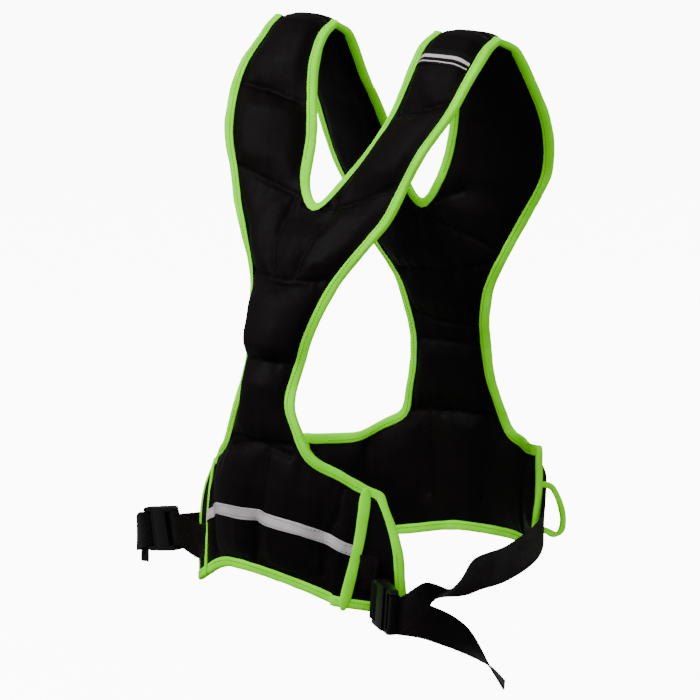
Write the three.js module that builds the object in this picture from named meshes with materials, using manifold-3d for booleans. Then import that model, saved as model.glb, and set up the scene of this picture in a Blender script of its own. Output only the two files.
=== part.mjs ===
// A quilted Y-front weighted vest: two padded panels joined over the shoulders, folded edge
// bindings, a reflective strip, and a webbing strap with a side release buckle at each side.
// Origin where the straps rest on the shoulders, +Z up, the wearer faces -Y and their left is +X.

import * as THREE from 'three';
import { mergeGeometries, mergeVertices } from 'three/addons/utils/BufferGeometryUtils.js';
import Module from 'manifold-3d';

const wasm = await Module();
wasm.setup();

// Overall form of the worn vest
const VEST_LENGTH = 570;
const HALF_WIDTH = 160;
const FRONT_REACH = 190;
const BACK_REACH = 119;

// Cloth, filling and seams
const EDGE_THICKNESS = 3.4;
const PAD_THICKNESS = 16;
const OUTWARD_SHARE = 0.62;
const SEAM_FILL = 0.24;
const CREST_FILL = 0.4;
const DOME_POWER = 0.6;
const SHOULDER_SEAM_GAP = 0.35;

// Folded binding along every cloth edge
const BINDING_REACH = 7.5;
const BINDING_WALL = 1.1;
const BINDING_GAP = 0.3;
const BINDING_NOSE = 0.7;
const EDGE_BAND = 11;

// Side pockets of the front belt
const POCKET_BINDING_WIDTH = 8.5;
const POCKET_BINDING_RISE = 3.2;
const POCKET_BINDING_LIP = 1.8;
const WING_WIDTH_TOP = 22;
const WING_WIDTH_HEM = 68;

// Reflective strip across the front belt
const STRIP_THICKNESS = 0.6;
const STRIP_LOW_SHARE = 0.42;
const STRIP_HIGH_SHARE = 0.505;
const TRIM_GAP = 0.3;

// Woven label on the left strap
const LABEL_THICKNESS = 0.8;
const LABEL_GAP = 0.7;

// Straps and buckles
const WEBBING_WIDTH = 36;
const WEBBING_THICKNESS = 1.6;
const BUCKLE_WIDTH = 47;
const SOCKET_LENGTH = 30;
const SOCKET_THICKNESS = 12;
const PLUG_THICKNESS = 8;
const PLUG_LENGTH = 18;
const BUCKLE_WALL = 2;
const BUCKLE_CLEARANCE = 0.4;
const BAR_LENGTH = 4;
const BAR_THICKNESS = 4;
const SLOT_LENGTH = 7;
const CORNER_RADIUS = 4;
const PRONG = 6;
const OVER_BINDING_CLEARANCE = 1.5;
const KEEPER_RADIUS = 3.4;
const KEEPER_REACH = 25;

// Columns of the quilt across half of a panel: rim, band, filling, band, rim
const COLUMNS = 8;

// Height of the strap's mid surface over the shoulder, where its inner face rests at the crest
const CREST_QUILT = SEAM_FILL + (1 - SEAM_FILL) * CREST_FILL;
const CREST_RISE = EDGE_THICKNESS / 2 + (1 - OUTWARD_SHARE) * (PAD_THICKNESS - EDGE_THICKNESS) * CREST_QUILT;

const CLOTH = { color: 0x151313, roughness: 0.92, metalness: 0 };
const LIME = { color: 0x8fd63a, roughness: 0.75, metalness: 0 };
const SILVER = { color: 0xb4aab0, roughness: 0.45, metalness: 0.1 };
const WEB = { color: 0x1d1616, roughness: 0.85, metalness: 0 };
const PLASTIC = { color: 0x0e0e10, roughness: 0.4, metalness: 0 };
const WOVEN = { color: 0x241f20, roughness: 0.7, metalness: 0 };

// Belt lines, each read at centre, waist, side and end: shares of half width, reach and length,
// and how much lower the wearer's right half hangs, as a share of the length
const FRONT_BELT = {
  hem: [
    [0, 1, -0.957, 0], [0.363, 0.958, -0.975, -0.015], [0.625, 0.879, -1.0, -0.006], [0.9, 0.69, -1.008, 0.018],
  ],
  middle: [
    [0, 1.016, -0.844, 0], [0.375, 0.958, -0.858, -0.008], [0.64, 0.822, -0.872, -0.016],
    [0.856, 0.695, -0.882, -0.018],
  ],
  top: [[0, 1, -0.718, 0], [0.378, 0.942, -0.73, 0], [0.55, 0.83, -0.765, 0], [0.728, 0.715, -0.797, 0]],
};
const BACK_BELT = {
  hem: [
    [0, 1, -0.968, 0], [0.475, 0.983, -0.963, 0.033], [0.75, 0.771, -0.955, 0.046], [1.019, 0.429, -0.923, 0.058],
  ],
  middle: [
    [0, 0.992, -0.847, 0], [0.475, 0.975, -0.853, 0.018], [0.756, 0.765, -0.844, 0.038], [1.05, 0.445, -0.835, 0.06],
  ],
  top: [
    [0, 0.966, -0.74, 0], [0.481, 0.975, -0.758, 0], [0.725, 0.795, -0.768, 0.036], [1.05, 0.445, -0.751, 0.062],
  ],
};

// Sections above the belt, each read at the inner edge (centre line or neck) and the arm edge.
// bow: where the curve between them bends, as shares of their spread. fill: how full the quilt is.
const FRONT_SECTIONS = [
  { inner: [0, 1, -0.647], arm: [0.244, 0.974, -0.647], bow: [0.6, 0], fill: 1, steps: 2 },
  { inner: [0, 0.989, -0.57], arm: [0.233, 0.884, -0.57], bow: [0.65, 0.1], fill: 0, steps: 2 },
  { inner: [0, 0.953, -0.514], arm: [0.27, 0.847, -0.518], bow: [0.65, 0.1], fill: 1, steps: 2 },
  { inner: [0, 0.826, -0.428], arm: [0.36, 0.742, -0.435], bow: [0.6, 0], fill: 0, steps: 2 },
  { inner: [0, 0.69, -0.363], arm: [0.529, 0.668, -0.364], bow: [0.6, 0], fill: 1, steps: 2 },
  { inner: [0, 0.555, -0.303], arm: [0.67, 0.6, -0.307], bow: [0.5, 0.5], fill: 0.5, steps: 2 },
  { inner: [0.113, 0.521, -0.274], arm: [0.738, 0.56, -0.261], bow: [0.5, 0.6], fill: 0, steps: 1 },
  { inner: [0.256, 0.337, -0.193], arm: [0.845, 0.515, -0.194], bow: [0.5, 0.65], fill: 1, steps: 2 },
  { inner: [0.35, 0.248, -0.125], arm: [0.955, 0.355, -0.113], bow: [0.5, 0.6], fill: 0, steps: 2 },
  { inner: [0.394, 0.195, -0.072], arm: [0.97, 0.262, -0.072], bow: [0.5, 0.5], fill: 1, steps: 1 },
  { inner: [0.411, 0.13, -0.03], arm: [0.962, 0.135, -0.033], bow: [0.5, 0.5], fill: 1, steps: 1 },
  { inner: [0.425, 0, 0], arm: [0.968, 0, 0], bow: [0.5, 0.5], fill: CREST_FILL, steps: 2 },
];
const FRONT_NECK_SECTION = 5;
const BACK_SECTIONS = [
  { inner: [0, 0.916, -0.661], arm: [0.369, 0.916, -0.675], bow: [0.6, 0], fill: 1, steps: 2 },
  { inner: [0, 0.857, -0.591], arm: [0.338, 0.882, -0.598], bow: [0.6, 0], fill: 0, steps: 2 },
  { inner: [0, 0.824, -0.556], arm: [0.35, 0.84, -0.56], bow: [0.6, 0], fill: 0, steps: 1 },
  { inner: [0, 0.739, -0.482], arm: [0.419, 0.79, -0.489], bow: [0.6, 0], fill: 0, steps: 2 },
  { inner: [0, 0.63, -0.416], arm: [0.581, 0.723, -0.423], bow: [0.6, 0], fill: 1, steps: 2 },
  { inner: [0, 0.479, -0.328], arm: [0.785, 0.714, -0.336], bow: [0.5, 0.2], fill: 0.4, steps: 2 },
  { inner: [0.113, 0.479, -0.296], arm: [0.882, 0.706, -0.296], bow: [0.5, 0.4], fill: 0, steps: 1 },
  { inner: [0.206, 0.479, -0.244], arm: [0.97, 0.697, -0.248], bow: [0.5, 0.5], fill: 1, steps: 2 },
  { inner: [0.313, 0.412, -0.16], arm: [1.02, 0.59, -0.16], bow: [0.5, 0.5], fill: 0, steps: 2 },
  { inner: [0.375, 0.303, -0.096], arm: [1.008, 0.45, -0.098], bow: [0.5, 0.5], fill: 1, steps: 2 },
  { inner: [0.413, 0.202, -0.033], arm: [0.985, 0.27, -0.033], bow: [0.5, 0.5], fill: 1, steps: 1 },
  { inner: [0.425, 0, 0], arm: [0.968, 0, 0], bow: [0.5, 0.5], fill: CREST_FILL, steps: 2 },
];
const BACK_NECK_SECTION = 5;

// A named point of a table; side is 1 on the wearer's left half and -1 on their right
function place(shares, reach, side = 1) {
  const lower = side < 0 ? shares[3] ?? 0 : 0;
  return new THREE.Vector3(
    side * shares[0] * HALF_WIDTH,
    shares[1] * reach,
    CREST_RISE + (shares[2] - lower) * VEST_LENGTH,
  );
}

// Points at given distances along part of a curve; a negative distance is read from its end
function along(curve, from, to, distances) {
  const SAMPLES = 80;
  const points = [];
  for (let i = 0; i <= SAMPLES; i++) points.push(curve.getPoint(from + (to - from) * i / SAMPLES));
  const lengths = [0];
  for (let i = 1; i <= SAMPLES; i++) lengths.push(lengths[i - 1] + points[i].distanceTo(points[i - 1]));
  const total = lengths[SAMPLES];
  return distances(total).map((distance) => {
    let i = 1;
    while (i < SAMPLES && lengths[i] < distance) i++;
    const share = (distance - lengths[i - 1]) / (lengths[i] - lengths[i - 1]);
    return points[i - 1].clone().lerp(points[i], THREE.MathUtils.clamp(share, 0, 1));
  });
}

// Rim, band, even steps, band, rim
function bandedDistances(total) {
  const inner = COLUMNS - 2;
  const list = [0];
  for (let i = 0; i <= inner; i++) list.push(EDGE_BAND + (total - 2 * EDGE_BAND) * i / inner);
  list.push(total);
  return list;
}

// Even steps from the centre line, band, rim
function centredDistances(total) {
  const even = COLUMNS - 1;
  const list = [];
  for (let i = 0; i <= even; i++) list.push((total - EDGE_BAND) * i / even);
  list.push(total);
  return list;
}

// One horizontal line of a belt half: the columns to the waist, then those to the belt end
function beltLine(shares, reach, side, sideDistances) {
  const points = shares.map((p) => place(p, reach, side));
  const mirrored = place(shares[1], reach, -side);
  const curve = new THREE.CatmullRomCurve3([mirrored, ...points], false, 'centripetal');
  const centre = along(curve, 0.25, 0.5, bandedDistances);
  const flank = along(curve, 0.5, 1, sideDistances);
  return [...centre, ...flank.slice(1)];
}

// Half of a panel as rows of points, from the hem up to the shoulder seam
function panelRows(spec, side) {
  const lines = ['hem', 'middle', 'top'].map((name, i) => {
    const sideDistances = (total) => spec.sideDistances(total, i / 2);
    return beltLine(spec.belt[name], spec.reach, side, sideDistances);
  });
  const rows = spec.beltShares.map(() => []);
  for (let c = 0; c < lines[0].length; c++) {
    const curve = new THREE.CatmullRomCurve3(lines.map((line) => line[c]));
    const column = along(curve, 0, 1, (total) => [
      0, EDGE_BAND, ...spec.beltShares.slice(2, -2).map((share) => share * total), total - EDGE_BAND, total,
    ]);
    column.forEach((point, r) => rows[r].push(point));
  }
  const beltTop = rows.length - 1;
  const waist = rows[beltTop].slice(0, COLUMNS + 1);
  const knots = [{ inner: waist[0], bend: waist[COLUMNS / 2], arm: waist[COLUMNS] }];
  for (const section of spec.sections) {
    const inner = place(section.inner, spec.reach, side);
    const arm = place(section.arm, spec.reach, side);
    const bend = new THREE.Vector3(
      THREE.MathUtils.lerp(inner.x, arm.x, section.bow[0]),
      THREE.MathUtils.lerp(inner.y, arm.y, section.bow[1]),
      (inner.z + arm.z) / 2,
    );
    knots.push({ inner, bend, arm });
  }
  const beyond = spec.beyond;
  knots.push({
    inner: place(beyond.inner, spec.beyondReach, side),
    bend: place(beyond.inner, spec.beyondReach, side).lerp(place(beyond.arm, spec.beyondReach, side), 0.5),
    arm: place(beyond.arm, spec.beyondReach, side),
  });
  const rails = {};
  for (const name of ['inner', 'bend', 'arm']) {
    rails[name] = new THREE.CatmullRomCurve3(knots.map((knot) => knot[name]));
  }
  const fills = [];
  let neckRow = beltTop;
  spec.sections.slice(0, spec.neckSection + 1).forEach((section) => { neckRow += section.steps; });
  spec.sections.forEach((section, k) => {
    const before = k === 0 ? 0 : spec.sections[k - 1].fill;
    for (let step = 1; step <= section.steps; step++) {
      const t = (k + step / section.steps) / (spec.sections.length + 1);
      const [inner, bend, arm] = ['inner', 'bend', 'arm'].map((name) => rails[name].getPoint(t));
      if (rows.length <= neckRow) inner.x = 0;
      const curve = new THREE.QuadraticBezierCurve3(inner, bend, arm);
      const rimmed = rows.length >= neckRow - 1;
      rows.push(along(curve, 0, 1, rimmed ? bandedDistances : centredDistances));
      const share = step / section.steps;
      fills.push(share === 1 ? section.fill : Math.max(before, section.fill, 0.85));
    }
  });
  for (let r = 0; r <= neckRow; r++) rows[r][0].x = 0;
  const last = rows.length - 1;
  const seam = Math.sign(spec.reachSign) * SHOULDER_SEAM_GAP / 2;
  for (const point of rows[last]) point.y = seam;
  return { rows, beltTop, neckRow, last, fills };
}

// How full the quilt is at each row and column, from 0 at an edge to 1 in a compartment
function quilt(half, spec) {
  const dome = (share) => Math.pow(Math.sin(Math.PI * THREE.MathUtils.clamp(share, 0, 1)), DOME_POWER);
  return half.rows.map((row, r) => row.map((_, c) => {
    if (r <= 1) return 0;
    if (r <= half.beltTop) {
      const level = r === half.beltTop ? SEAM_FILL : (r === half.beltTop - 1 ? 0.75 : 1);
      if (r >= half.beltTop - 1 && c >= COLUMNS - 1) return 0;
      const across = spec.beltFill[c];
      return level * across;
    }
    const rowFill = SEAM_FILL + (1 - SEAM_FILL) * half.fills[r - half.beltTop - 1];
    if (c >= COLUMNS - 1) return 0;
    const innerRim = r >= half.neckRow;
    if (innerRim && c <= 1) return 0;
    if (r === half.neckRow - 1 && c <= 1) return 0;
    if (Math.abs(r - half.neckRow) <= 1 && c <= 2) return rowFill * 0.2;
    if (innerRim) return rowFill * Math.max(SEAM_FILL, dome((c - 1) / (COLUMNS - 2)));
    return rowFill * Math.max(SEAM_FILL, dome(0.5 + 0.5 * (c - 1) / (COLUMNS - 2)));
  }));
}

// The two halves of a panel as one sheet, with its fill and outward normals
function panelSheet(spec) {
  const sides = { 1: panelRows(spec, 1), [-1]: panelRows(spec, -1) };
  const half = sides[1];
  const fill = quilt(half, spec);
  const patches = [];
  const halves = {};
  for (const side of [1, -1]) {
    const rows = sides[side].rows;
    if (side < 0) rows.forEach((row, r) => { if (r <= half.neckRow) row[0].copy(sides[1].rows[r][0]); });
    halves[side] = rows;
    const wide = rows[0].length - 1;
    patches.push(gridPatch(rows, fill, 0, half.last, 0, COLUMNS, side * spec.reachSign < 0));
    patches.push(gridPatch(rows, fill, 0, half.beltTop, COLUMNS, wide, side * spec.reachSign < 0));
  }
  const sheet = mergeVertices(mergeGeometries(patches), 1e-3);
  sheet.computeVertexNormals();
  const normals = new Map();
  const position = sheet.attributes.position;
  const seamKeys = new Set([1, -1].flatMap((side) => halves[side][half.last].map(keyOf)));
  for (let i = 0; i < position.count; i++) {
    const p = new THREE.Vector3().fromBufferAttribute(position, i);
    const n = new THREE.Vector3().fromBufferAttribute(sheet.attributes.normal, i);
    if (seamKeys.has(keyOf(p))) n.setY(0).normalize();
    sheet.attributes.normal.setXYZ(i, n.x, n.y, n.z);
    normals.set(keyOf(p), n);
  }
  const at = (side, r, c) => {
    const point = halves[side][r][c];
    return { point, normal: normals.get(keyOf(point)), fill: fill[r][c] };
  };
  return { ...half, sheet, at, wide: half.rows[0].length - 1, reachSign: spec.reachSign };
}

function keyOf(p) {
  return [p.x, p.y, p.z].map((v) => Math.round(Math.fround(v) * 100)).join(',');
}

// A rectangular piece of the grid as a mapped plane
function gridPatch(rows, fill, r0, r1, c0, c1, flip) {
  const plane = new THREE.PlaneGeometry(1, 1, c1 - c0, r1 - r0);
  const position = plane.attributes.position;
  const fills = new Float32Array(position.count);
  for (let r = r0; r <= r1; r++) {
    for (let c = c0; c <= c1; c++) {
      const i = (c - c0) + (c1 - c0 + 1) * (r - r0);
      position.setXYZ(i, rows[r][c].x, rows[r][c].y, rows[r][c].z);
      fills[i] = fill[r][c];
    }
  }
  if (flip) {
    const index = plane.index.array;
    for (let i = 0; i < index.length; i += 3) [index[i], index[i + 1]] = [index[i + 1], index[i]];
  }
  plane.deleteAttribute('uv');
  plane.deleteAttribute('normal');
  plane.setAttribute('fill', new THREE.BufferAttribute(fills, 1));
  return plane;
}

const outerOffset = (fill) => EDGE_THICKNESS / 2 + OUTWARD_SHARE * (PAD_THICKNESS - EDGE_THICKNESS) * fill;
const innerOffset = (fill) =>
  EDGE_THICKNESS / 2 + (1 - OUTWARD_SHARE) * (PAD_THICKNESS - EDGE_THICKNESS) * fill;

// A closed solid from a sheet: both faces, and a wall along every open edge
function thicken(sheet, outer, inner) {
  const position = sheet.attributes.position;
  const normal = sheet.attributes.normal;
  const index = sheet.index.array;
  const count = position.count;
  const vertices = [];
  for (const [offset, sign] of [[outer, 1], [inner, -1]]) {
    for (let i = 0; i < count; i++) {
      const p = new THREE.Vector3().fromBufferAttribute(position, i);
      const n = new THREE.Vector3().fromBufferAttribute(normal, i);
      p.addScaledVector(n, sign * offset(sheet.attributes.fill ? sheet.attributes.fill.getX(i) : 0));
      vertices.push(p.x, p.y, p.z);
    }
  }
  const edges = new Set();
  const faces = [];
  for (let i = 0; i < index.length; i += 3) {
    const [a, b, c] = [index[i], index[i + 1], index[i + 2]];
    faces.push(a, b, c, a + count, c + count, b + count);
    edges.add(a + '_' + b).add(b + '_' + c).add(c + '_' + a);
  }
  for (const edge of edges) {
    const [a, b] = edge.split('_').map(Number);
    if (!edges.has(b + '_' + a)) faces.push(b, a, a + count, b, a + count, b + count);
  }
  const solid = new THREE.BufferGeometry();
  solid.setAttribute('position', new THREE.Float32BufferAttribute(vertices, 3));
  solid.setIndex(faces);
  return solid;
}

// A closed solid from a row of equal rings; the rings run round the section
function ringSolid(rings, section, closed) {
  const around = rings[0].length;
  const vertices = rings.flat().flatMap((p) => [p.x, p.y, p.z]);
  const faces = [];
  const spans = closed ? rings.length : rings.length - 1;
  for (let s = 0; s < spans; s++) {
    const next = (s + 1) % rings.length;
    for (let i = 0; i < around; i++) {
      const j = (i + 1) % around;
      const [a, b, c, d] = [s * around + i, s * around + j, next * around + j, next * around + i];
      faces.push(a, b, c, a, c, d);
    }
  }
  if (!closed) {
    const end = (rings.length - 1) * around;
    const turn = Math.sign(THREE.ShapeUtils.area(section));
    for (const face of THREE.ShapeUtils.triangulateShape(section, [])) {
      const facing = Math.sign(THREE.ShapeUtils.area(face.map((i) => section[i])));
      const [a, b, c] = facing === turn ? face : [face[0], face[2], face[1]];
      faces.push(c, b, a, a + end, b + end, c + end);
    }
  }
  const solid = new THREE.BufferGeometry();
  solid.setAttribute('position', new THREE.Float32BufferAttribute(vertices, 3));
  solid.setIndex(faces);
  return outwardFacing(solid);
}

// Turns a closed solid's faces outward if its signed volume says that they point in
function outwardFacing(solid) {
  const p = solid.attributes.position;
  const index = solid.index.array;
  let volume = 0;
  const [a, b, c] = [new THREE.Vector3(), new THREE.Vector3(), new THREE.Vector3()];
  for (let i = 0; i < index.length; i += 3) {
    a.fromBufferAttribute(p, index[i]);
    b.fromBufferAttribute(p, index[i + 1]);
    c.fromBufferAttribute(p, index[i + 2]);
    volume += a.dot(b.cross(c));
  }
  if (volume < 0) {
    for (let i = 0; i < index.length; i += 3) [index[i], index[i + 1]] = [index[i + 1], index[i]];
  }
  return solid;
}

// The folded binding's ring at one edge point: root on the edge, tip inside the sheet
function bindingRing([root, tip], reach, gap, wall) {
  const step = tip.point.clone().sub(root.point);
  const share = reach / step.length();
  const out = step.clone().normalize().negate();
  const n = root.normal;
  const faceAt = (place, sign) =>
    place.point.clone().addScaledVector(place.normal, sign * EDGE_THICKNESS / 2);
  const leg = (sign) => {
    const start = faceAt(root, sign);
    return { start, end: start.clone().lerp(faceAt(tip, sign), share) };
  };
  const upper = leg(1);
  const lower = leg(-1);
  const g = gap;
  const w = gap + wall;
  return [
    upper.end.clone().addScaledVector(n, w),
    upper.start.clone().addScaledVector(n, w).addScaledVector(out, g),
    root.point.clone().addScaledVector(out, w + BINDING_NOSE),
    lower.start.clone().addScaledVector(n, -w).addScaledVector(out, g),
    lower.end.clone().addScaledVector(n, -w),
    lower.end.clone().addScaledVector(n, -g),
    lower.start.clone().addScaledVector(n, -g).addScaledVector(out, g),
    upper.start.clone().addScaledVector(n, g).addScaledVector(out, g),
    upper.end.clone().addScaledVector(n, g),
  ];
}

// The same ring laid flat, for closing the binding's cut ends
function bindingSection() {
  const h = EDGE_THICKNESS / 2;
  const g = BINDING_GAP;
  const w = BINDING_GAP + BINDING_WALL;
  return [
    [-BINDING_REACH, h + w], [g, h + w], [w + BINDING_NOSE, 0], [g, -h - w], [-BINDING_REACH, -h - w],
    [-BINDING_REACH, -h - g], [g, -h - g], [g, h + g], [-BINDING_REACH, h + g],
  ].map(([x, y]) => new THREE.Vector2(x, y));
}

function edgeBinding(stations, closed) {
  const rings = stations.map((station) => bindingRing(station, BINDING_REACH, BINDING_GAP, BINDING_WALL));
  return ringSolid(rings, bindingSection(), closed);
}

// The room that a binding takes up: most of its gap inside, and a whole gap beyond it
function bindingRoom(stations, closed) {
  const inside = BINDING_GAP * 0.6;
  const wall = BINDING_GAP - inside + BINDING_WALL + BINDING_GAP;
  const rings = stations.map((station) => bindingRing(station, BINDING_REACH + BINDING_GAP, inside, wall));
  return ringSolid(rings, bindingSection(), closed);
}

function toManifold(geometry) {
  const bare = geometry.clone();
  for (const name of Object.keys(bare.attributes)) if (name !== 'position') bare.deleteAttribute(name);
  const merged = mergeVertices(bare, 1e-4);
  return new wasm.Manifold(new wasm.Mesh({
    numProp: 3,
    vertProperties: new Float32Array(merged.attributes.position.array),
    triVerts: new Uint32Array(merged.index.array),
  }));
}

function fromManifold(solid) {
  const mesh = solid.getMesh();
  const geometry = new THREE.BufferGeometry();
  geometry.setAttribute('position', new THREE.BufferAttribute(new Float32Array(mesh.vertProperties), 3));
  geometry.setIndex(Array.from(mesh.triVerts));
  return geometry;
}

function cutBy(geometry, tools) {
  let solid = toManifold(geometry);
  for (const tool of tools) solid = solid.subtract(toManifold(tool));
  const whole = solid.decompose().sort((a, b) => b.volume() - a.volume())[0];
  return fromManifold(whole);
}

const material = (look) => new THREE.MeshStandardMaterial(look);

function addPiece(group, name, geometry, look) {
  const mesh = new THREE.Mesh(geometry, material(look));
  mesh.name = name;
  group.add(mesh);
  return mesh;
}

const group = new THREE.Group();

// Front and back panels
const frontSpec = {
  reach: -FRONT_REACH,
  reachSign: -1,
  belt: FRONT_BELT,
  beltShares: [0, 0, 0.25, STRIP_LOW_SHARE, STRIP_HIGH_SHARE, 0.7, 1, 1],
  beltFill: [0.3, 0.75, 0.95, 1, 1, 1, 1, 0.95, 0.8, 0.3, 0.75, 0, 0, 0],
  sideDistances: (total, level) => {
    const wing = THREE.MathUtils.lerp(WING_WIDTH_HEM, WING_WIDTH_TOP, level);
    const padded = total - wing;
    return [0, padded * 0.45, padded * 0.75, padded, total - EDGE_BAND, total];
  },
  sections: FRONT_SECTIONS,
  beyond: BACK_SECTIONS.at(-2),
  beyondReach: BACK_REACH,
  neckSection: FRONT_NECK_SECTION,
};
const backSpec = {
  reach: BACK_REACH,
  reachSign: 1,
  belt: BACK_BELT,
  beltShares: [0, 0, 0.3, 0.5, 0.7, 1, 1],
  beltFill: [1, 1, 0.95, 0.8, 0.6, 0.3, 0.7, 0.95, 1, 0.85, 0.3, 0.8, 1, 0, 0],
  sideDistances: (total) => {
    const padded = total - EDGE_BAND;
    return [0, padded * 0.22, padded * 0.47, padded * 0.66, padded * 0.84, padded, total];
  },
  sections: BACK_SECTIONS,
  beyond: FRONT_SECTIONS.at(-2),
  beyondReach: -FRONT_REACH,
  neckSection: BACK_NECK_SECTION,
};
const front = panelSheet(frontSpec);
const back = panelSheet(backSpec);

// Binding up an arm edge: the belt end, the belt top, and the edge on to the shoulder
function armStations(panel, side) {
  const stations = [];
  const end = panel.wide;
  const top = panel.beltTop;
  for (let r = 1; r < top; r++) stations.push([panel.at(side, r, end), panel.at(side, r, end - 1)]);
  stations.push([panel.at(side, top, end), panel.at(side, top - 1, end - 1)]);
  for (let c = end - 1; c > COLUMNS; c--) stations.push([panel.at(side, top, c), panel.at(side, top - 1, c)]);
  stations.push([panel.at(side, top, COLUMNS), panel.at(side, top - 1, COLUMNS - 1)]);
  for (let r = top + 1; r <= panel.last; r++) {
    stations.push([panel.at(side, r, COLUMNS), panel.at(side, r, COLUMNS - 1)]);
  }
  return stations;
}

function neckStations(panel, side) {
  const stations = [];
  for (let r = panel.neckRow + 1; r <= panel.last; r++) {
    stations.push([panel.at(side, r, 0), panel.at(side, r, 1)]);
  }
  return stations;
}

function hemStations(panel) {
  const stations = [];
  for (let c = panel.wide; c >= 0; c--) stations.push([panel.at(-1, 0, c), panel.at(-1, 1, c)]);
  for (let c = 1; c <= panel.wide; c++) stations.push([panel.at(1, 0, c), panel.at(1, 1, c)]);
  return stations;
}

const armEdges = [1, -1].map((side) => [...armStations(front, side), ...armStations(back, side).reverse()]);
const neckEdge = [
  [front.at(1, front.neckRow, 0), front.at(1, front.neckRow - 1, 0)],
  ...neckStations(front, 1),
  ...neckStations(back, 1).reverse(),
  [back.at(1, back.neckRow, 0), back.at(1, back.neckRow - 1, 0)],
  ...neckStations(back, -1),
  ...neckStations(front, -1).reverse(),
];
const sharedRoom = [...armEdges.map((edge) => bindingRoom(edge, false)), bindingRoom(neckEdge, true)];
for (const [name, panel] of [['front', front], ['back', back]]) {
  const quilted = thicken(panel.sheet, outerOffset, innerOffset);
  const rooms = [...sharedRoom, bindingRoom(hemStations(panel), false)];
  addPiece(group, name + '_panel', cutBy(quilted, rooms), CLOTH);
  addPiece(group, name + '_hem_binding', edgeBinding(hemStations(panel), false), LIME);
}
addPiece(group, 'arm_binding_left', edgeBinding(armEdges[0], false), LIME);
addPiece(group, 'arm_binding_right', edgeBinding(armEdges[1], false), LIME);
addPiece(group, 'neck_binding', edgeBinding(neckEdge, true), LIME);

// A thin layer on a panel's outer face, over a list of its rows and a range of its columns; a row may
// lie part of the way to the next
function coverLayer(panel, levels, [c0, c1], sides, gap, thickness) {
  const normals = new Map();
  const flat = levels.map(() => new Array(c1 - c0 + 1).fill(0));
  const patches = sides.map((side) => {
    const rows = flat.map((row, i) => row.map((_, j) => {
      const low = panel.at(side, Math.floor(levels[i]), c0 + j);
      const high = panel.at(side, Math.ceil(levels[i]), c0 + j);
      const share = levels[i] - Math.floor(levels[i]);
      const normal = low.normal.clone().lerp(high.normal, share);
      const top = low.point.clone().addScaledVector(low.normal, outerOffset(low.fill));
      top.lerp(high.point.clone().addScaledVector(high.normal, outerOffset(high.fill)), share);
      normals.set(keyOf(top), normal);
      return top;
    }));
    return gridPatch(rows, flat, 0, levels.length - 1, 0, c1 - c0, side * panel.reachSign < 0);
  });
  const sheet = mergeVertices(mergeGeometries(patches), 1e-3);
  const position = sheet.attributes.position;
  const normal = new THREE.Float32BufferAttribute(position.count * 3, 3);
  for (let i = 0; i < position.count; i++) {
    const n = normals.get(keyOf(new THREE.Vector3().fromBufferAttribute(position, i)));
    normal.setXYZ(i, n.x, n.y, n.z);
  }
  sheet.setAttribute('normal', normal);
  return thicken(sheet, () => gap + thickness, () => -gap);
}

// Reflective strip from one pocket edge to the other
const STRIP_ROWS = [3, 4];
const POCKET_COLUMN = front.wide - 2;
addPiece(group, 'reflective_strip',
  coverLayer(front, STRIP_ROWS, [0, POCKET_COLUMN], [1, -1], TRIM_GAP, STRIP_THICKNESS), SILVER);

// Woven label across the front of the wearer's left strap, below the crest
const LABEL_ROWS = [front.last - 2.55, front.last - 2];
addPiece(group, 'label_patch',
  coverLayer(front, LABEL_ROWS, [1, COLUMNS - 1], [1], LABEL_GAP, LABEL_THICKNESS), WOVEN);

// Outer face of a panel between its rows and columns, lifted off along its normal
function facePoint(panel, side, row, column, lift) {
  const [r, c] = [Math.floor(row), Math.floor(column)];
  const corner = (i, j) => {
    const { point, normal, fill } = panel.at(side, Math.min(r + i, panel.last), Math.min(c + j, panel.wide));
    return point.clone().addScaledVector(normal, outerOffset(fill) + lift);
  };
  const lower = corner(0, 0).lerp(corner(0, 1), column - c);
  const upper = corner(1, 0).lerp(corner(1, 1), column - c);
  return lower.lerp(upper, row - r);
}

// Binding on the pocket edge, standing on the thin wing beside the padding
function pocketBinding(side) {
  const rings = [];
  for (let r = 1; r < front.beltTop; r++) {
    const edge = facePoint(front, side, r, POCKET_COLUMN, TRIM_GAP * 1.4);
    const next = facePoint(front, side, r, POCKET_COLUMN + 1, TRIM_GAP * 1.4);
    const start = edge.clone().lerp(next, TRIM_GAP / edge.distanceTo(next));
    const end = edge.clone().lerp(next, POCKET_BINDING_WIDTH / edge.distanceTo(next));
    const n = front.at(side, r, POCKET_COLUMN).normal;
    rings.push([
      start, end,
      end.clone().addScaledVector(n, POCKET_BINDING_LIP), start.clone().addScaledVector(n, POCKET_BINDING_RISE),
    ]);
  }
  const section = [
    [0, 0], [POCKET_BINDING_WIDTH, 0], [POCKET_BINDING_WIDTH, POCKET_BINDING_LIP], [0, POCKET_BINDING_RISE],
  ].map(([x, y]) => new THREE.Vector2(x, y));
  return ringSolid(rings, section, false);
}
addPiece(group, 'pocket_binding_left', pocketBinding(1), LIME);
addPiece(group, 'pocket_binding_right', pocketBinding(-1), LIME);

// A box spanning the given ranges, for building and cutting the buckle
function block([x0, x1], [y0, y1], [z0, z1]) {
  const box = new THREE.BoxGeometry(x1 - x0, y1 - y0, z1 - z0);
  box.translate((x0 + x1) / 2, (y0 + y1) / 2, (z0 + z1) / 2);
  return toManifold(box);
}

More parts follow.
